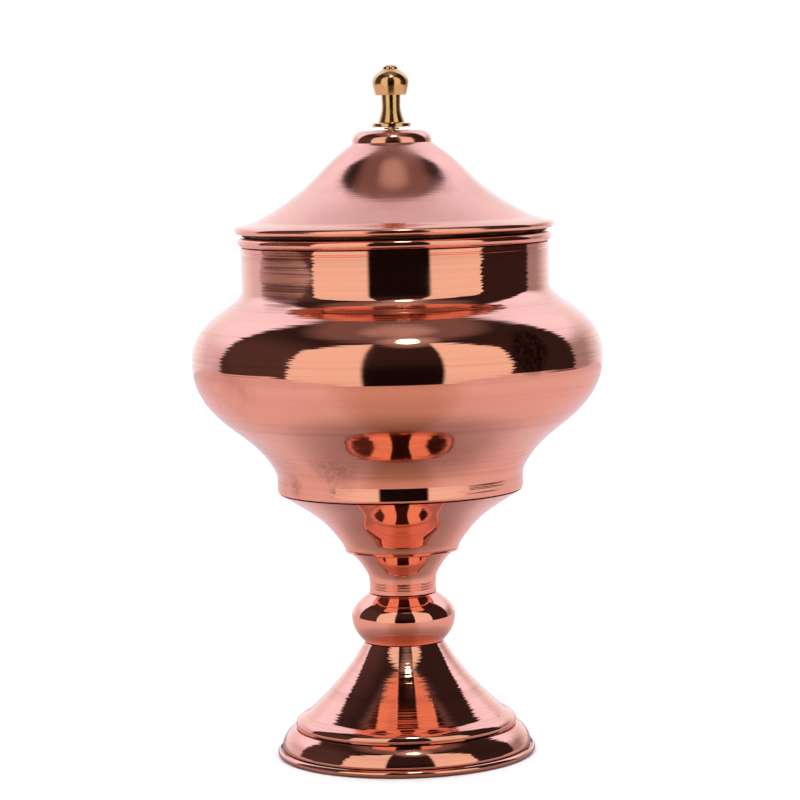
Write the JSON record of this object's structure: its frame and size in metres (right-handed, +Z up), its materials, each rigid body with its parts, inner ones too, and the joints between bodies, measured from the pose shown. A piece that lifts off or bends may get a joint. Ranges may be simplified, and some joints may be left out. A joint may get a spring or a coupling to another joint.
{
  "type": "lidded pedestal bowl",
  "caption": "Spun copper pedestal bowl with a bulbous body on a stem and stepped foot, and a loose lid that lifts off by a turned brass finial.",
  "frame": {"origin": "on the axis, in the plane that the foot stands on", "axes": "+Z up along the turned axis; the object is round, so X and Y are alike"},
  "size_m": [0.1558, 0.1558, 0.2613],
  "materials": {
    "copper": "polished, with fine turning lines",
    "brass": "polished",
    "steel": "plain zinc-plated steel"
  },
  "bodies": {
    "bowl": {"foot_base_ring": "copper", "foot_rim_wire": "steel", "foot_cone": "copper", "stem_knop": "copper", "stem_neck": "copper", "lower_cup": "copper", "bowl_shell": "copper", "bowl_rim_wire": "steel", "tie_rod": "steel", "bowl_washer": "steel", "bowl_nut": "steel", "foot_washer": "steel", "foot_nut": "steel"},
    "lid": {"lid_shell": "copper", "lid_rim_wire": "steel", "lid_collar": "copper", "lid_washer": "steel", "lid_screw": "steel", "finial_spacer": "brass", "finial": "brass"}
  },
  "joints": [
    {"name": "lid_lift", "type": "slide", "parent": "bowl", "child": "lid", "axis": [0, 0, 1], "range_m": [0, 0.12]}
  ]
}
